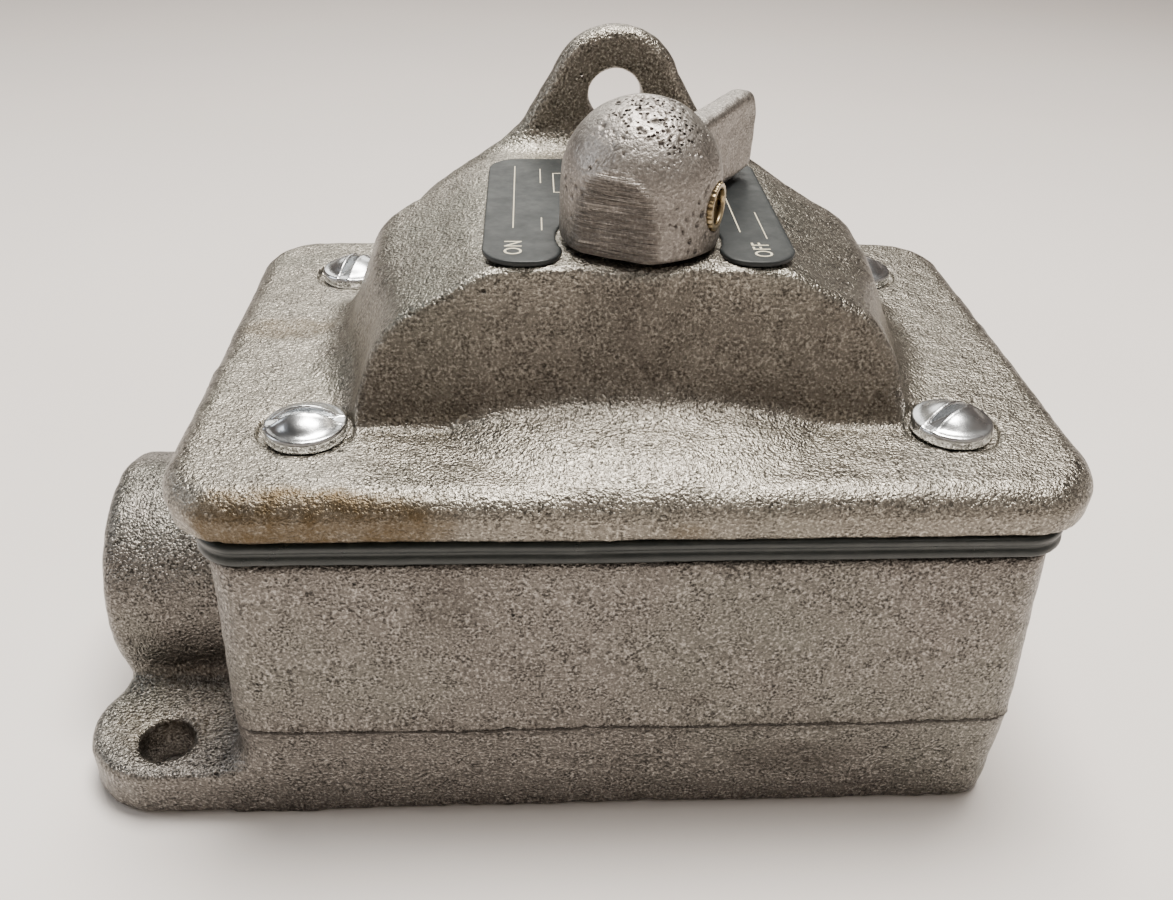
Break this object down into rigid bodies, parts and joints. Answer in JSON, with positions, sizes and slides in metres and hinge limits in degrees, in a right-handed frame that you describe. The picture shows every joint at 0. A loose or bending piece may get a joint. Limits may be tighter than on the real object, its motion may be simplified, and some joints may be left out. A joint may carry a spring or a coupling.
{
  "type": "rotary isolator switch",
  "caption": "Surface-mount isolator switch in a cast aluminium box: domed cover, padlockable turning handle, side conduit hub, mounting lugs and an inner toggle switch.",
  "frame": {"origin": "centre of the box's flat back face, which lies on the wall", "axes": "+Z out of the cover; -X towards the conduit hub; -Y the side that the handle's shaft is nearest to"},
  "size_m": [0.1506, 0.08, 0.0922],
  "materials": {
    "cast_aluminium": "sand cast, bare, satin and grainy",
    "handle_casting": "sand cast, pitted and hand filed",
    "gasket_rubber": "satin moulded rubber",
    "nameplate_enamel": "satin black enamel with pale letters",
    "zinc_steel": "zinc plated, bright",
    "turned_steel": "turned, lightly oiled",
    "brass": "machined, slightly tarnished",
    "phenolic": "moulded phenolic, dull"
  },
  "bodies": {
    "enclosure": {"base_box": "cast_aluminium", "cover_gasket": "gasket_rubber", "cover": "cast_aluminium", "nameplate": "nameplate_enamel", "cover_screw_1": "zinc_steel", "cover_screw_2": "zinc_steel", "cover_screw_3": "zinc_steel", "cover_screw_4": "zinc_steel", "ground_screw": "brass", "shaft_bushing": "brass", "shaft_o_ring": "gasket_rubber", "switch_base": "phenolic", "switch_housing": "phenolic", "toggle_pivot_pin": "turned_steel", "mounting_strap": "zinc_steel", "strap_screw_1": "zinc_steel", "strap_screw_2": "zinc_steel", "fixed_contact_1": "brass", "fixed_contact_2": "brass", "fixed_contact_3": "brass", "fixed_contact_4": "brass", "terminal_screw_1": "brass", "terminal_screw_2": "brass", "terminal_screw_3": "brass", "terminal_screw_4": "brass"},
    "handle": {"handle": "handle_casting", "handle_set_screw": "brass", "handle_shaft": "turned_steel", "thrust_washer": "brass", "retaining_ring": "turned_steel", "drive_fork": "turned_steel", "fork_set_screw": "turned_steel"},
    "toggle": {"toggle_lever": "phenolic", "contact_carrier": "phenolic", "toggle_spring": "turned_steel", "contact_bridge_1": "brass", "contact_bridge_2": "brass"}
  },
  "joints": [
    {"name": "handle_turn", "type": "hinge", "parent": "enclosure", "child": "handle", "pos_m": [0.0006, -0.0135, 0.075], "axis": [0, 0, 1], "range_deg": [0, 66]},
    {"name": "toggle_swing", "type": "hinge", "parent": "enclosure", "child": "toggle", "pos_m": [0.0006, 0.0035, 0.0345], "axis": [0, 1, 0], "range_deg": [-46.25, 0]}
  ],
  "couplings": [
    {"joint": "toggle_swing", "follows": "handle_turn", "ratio": -0.7}
  ]
}
